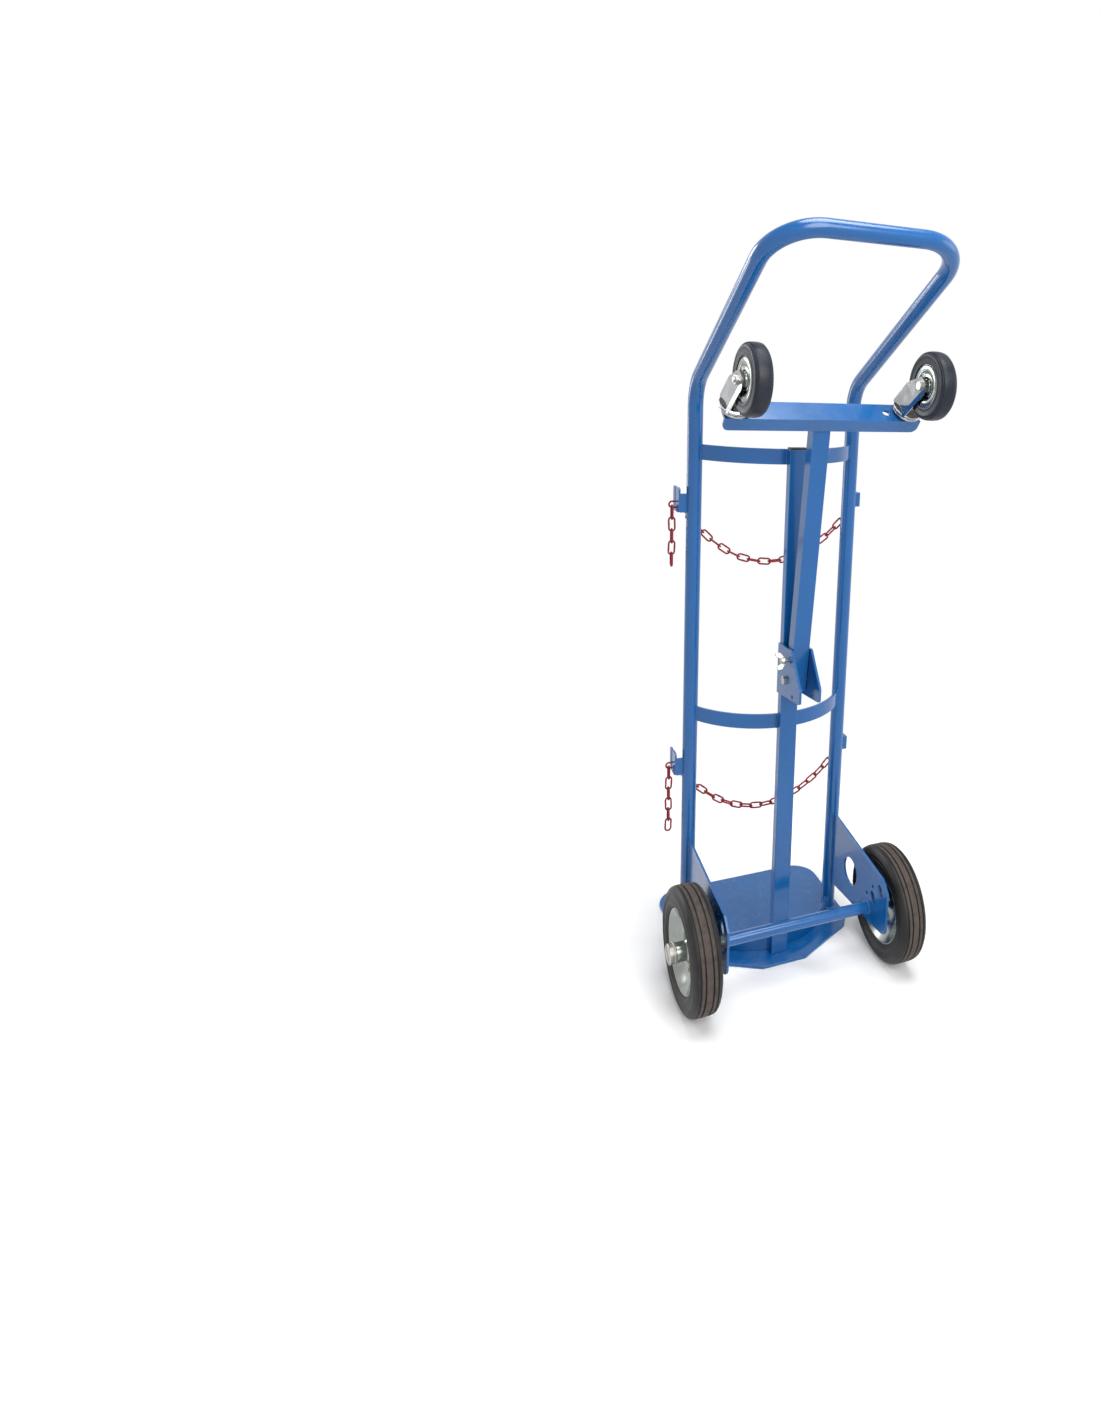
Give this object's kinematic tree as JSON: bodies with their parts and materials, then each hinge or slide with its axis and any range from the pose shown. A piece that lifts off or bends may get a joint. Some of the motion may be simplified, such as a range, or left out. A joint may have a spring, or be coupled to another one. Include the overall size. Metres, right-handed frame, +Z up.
{
  "type": "gas cylinder trolley",
  "caption": "Upright tubular trolley for a gas cylinder, with road wheels, securing chains and a fold-down leg with swivel casters.",
  "frame": {"origin": "on the floor under the base plate, midway between the two uprights", "axes": "+Z up, +Y towards the load, +X to the operator's right"},
  "size_m": [0.4386, 0.4825, 1.2095],
  "materials": {
    "blue_paint": "glossy sky-blue powder coat",
    "wheel_rubber": "matt ribbed rubber, dusty tread",
    "caster_rubber": "smooth dark rubber",
    "zinc_rim": "zinc-plated pressed steel",
    "zinc_fastener": "zinc plated",
    "chrome_fork": "bright plated pressed steel",
    "red_chain": "red coated steel wire",
    "black_plastic": "moulded plastic"
  },
  "bodies": {
    "root": {"left_upright": "blue_paint", "right_upright": "blue_paint", "left_handle_arm": "blue_paint", "right_handle_arm": "blue_paint", "left_handle_corner": "blue_paint", "right_handle_corner": "blue_paint", "base_plate": "blue_paint", "upper_band": "blue_paint", "middle_band": "blue_paint", "lower_band": "blue_paint", "centre_post": "blue_paint", "post_end_plug": "black_plastic", "left_axle_plate": "blue_paint", "right_axle_plate": "blue_paint", "axle": "blue_paint", "axle_spacers": "zinc_fastener", "axle_washers": "zinc_fastener", "axle_cap_screws": "zinc_fastener", "left_bracket_plate": "blue_paint", "right_bracket_plate": "blue_paint", "pivot_bolt": "zinc_fastener", "pivot_nut": "zinc_fastener", "lock_nut": "zinc_fastener", "pivot_washers": "zinc_fastener", "upper_chain_hook": "blue_paint", "upper_chain_anchor": "blue_paint", "upper_hook_link": "red_chain", "lower_chain_hook": "blue_paint", "lower_chain_anchor": "blue_paint", "lower_hook_link": "red_chain"},
    "folding_leg": {"leg_tube": "blue_paint", "leg_pivot_bush": "zinc_fastener", "caster_bar": "blue_paint", "caster_bolts": "zinc_fastener", "caster_washers": "zinc_fastener", "caster_races": "chrome_fork", "caster_nuts": "zinc_fastener"},
    "lock": {"wing_screw": "zinc_fastener"},
    "left_caster_swivel": {"left_caster_fork": "chrome_fork", "left_caster_axle_bolt": "zinc_fastener", "left_caster_axle_nut": "zinc_fastener"},
    "left_caster_wheel": {"left_caster_centre": "zinc_fastener", "left_caster_tyre": "caster_rubber"},
    "left_main_wheel": {"left_wheel_tyre": "wheel_rubber", "left_rim_outer_half": "zinc_rim", "left_rim_inner_half": "zinc_rim", "left_wheel_hub": "zinc_fastener"},
    "right_caster_swivel": {"right_caster_fork": "chrome_fork", "right_caster_axle_bolt": "zinc_fastener", "right_caster_axle_nut": "zinc_fastener"},
    "right_caster_wheel": {"right_caster_centre": "zinc_fastener", "right_caster_tyre": "caster_rubber"},
    "right_main_wheel": {"right_wheel_tyre": "wheel_rubber", "right_rim_outer_half": "zinc_rim", "right_rim_inner_half": "zinc_rim", "right_wheel_hub": "zinc_fastener"},
    "upper_chain_span": {"upper_chain": "red_chain"},
    "upper_chain_end": {"upper_chain_tail": "red_chain"},
    "lower_chain_span": {"lower_chain": "red_chain"},
    "lower_chain_end": {"lower_chain_tail": "red_chain"}
  },
  "joints": [
    {"name": "leg_fold", "type": "hinge", "parent": "root", "child": "folding_leg", "pos_m": [0, -0.122, 0.525], "axis": [1, 0, 0], "range_deg": [0, 115]},
    {"name": "lock_slide", "type": "slide", "parent": "root", "child": "lock", "axis": [1, 0, 0], "range_m": [0, 0.004]},
    {"name": "left_caster_turn", "type": "hinge", "parent": "folding_leg", "child": "left_caster_swivel", "pos_m": [-0.14, -0.18143, 0.96196], "axis": [0, -0.6225, 0.7826], "continuous": true},
    {"name": "left_caster_roll", "type": "hinge", "parent": "left_caster_swivel", "child": "left_caster_wheel", "pos_m": [-0.14, -0.2519, 1.00558], "axis": [1, 0, 0], "continuous": true},
    {"name": "left_wheel_roll", "type": "hinge", "parent": "root", "child": "left_main_wheel", "pos_m": [-0.18, -0.158, 0.1], "axis": [1, 0, 0], "continuous": true},
    {"name": "right_caster_turn", "type": "hinge", "parent": "folding_leg", "child": "right_caster_swivel", "pos_m": [0.14, -0.18143, 0.96196], "axis": [0, -0.6225, 0.7826], "continuous": true},
    {"name": "right_caster_roll", "type": "hinge", "parent": "right_caster_swivel", "child": "right_caster_wheel", "pos_m": [0.14, -0.2519, 1.00558], "axis": [1, 0, 0], "continuous": true},
    {"name": "right_wheel_roll", "type": "hinge", "parent": "root", "child": "right_main_wheel", "pos_m": [0.18, -0.158, 0.1], "axis": [1, 0, 0], "continuous": true},
    {"name": "upper_chain_swing", "type": "hinge", "parent": "root", "child": "upper_chain_span", "pos_m": [0, 0.02, 0.7915], "axis": [1, 0, 0], "range_deg": [0, 30]},
    {"name": "upper_tail_swing", "type": "hinge", "parent": "root", "child": "upper_chain_end", "pos_m": [-0.172, 0.02, 0.79], "axis": [1, 0, 0], "range_deg": [-25, 25]},
    {"name": "lower_chain_swing", "type": "hinge", "parent": "root", "child": "lower_chain_span", "pos_m": [0, 0.02, 0.3315], "axis": [1, 0, 0], "range_deg": [0, 30]},
    {"name": "lower_tail_swing", "type": "hinge", "parent": "root", "child": "lower_chain_end", "pos_m": [-0.172, 0.02, 0.33], "axis": [1, 0, 0], "range_deg": [-25, 25]}
  ]
}
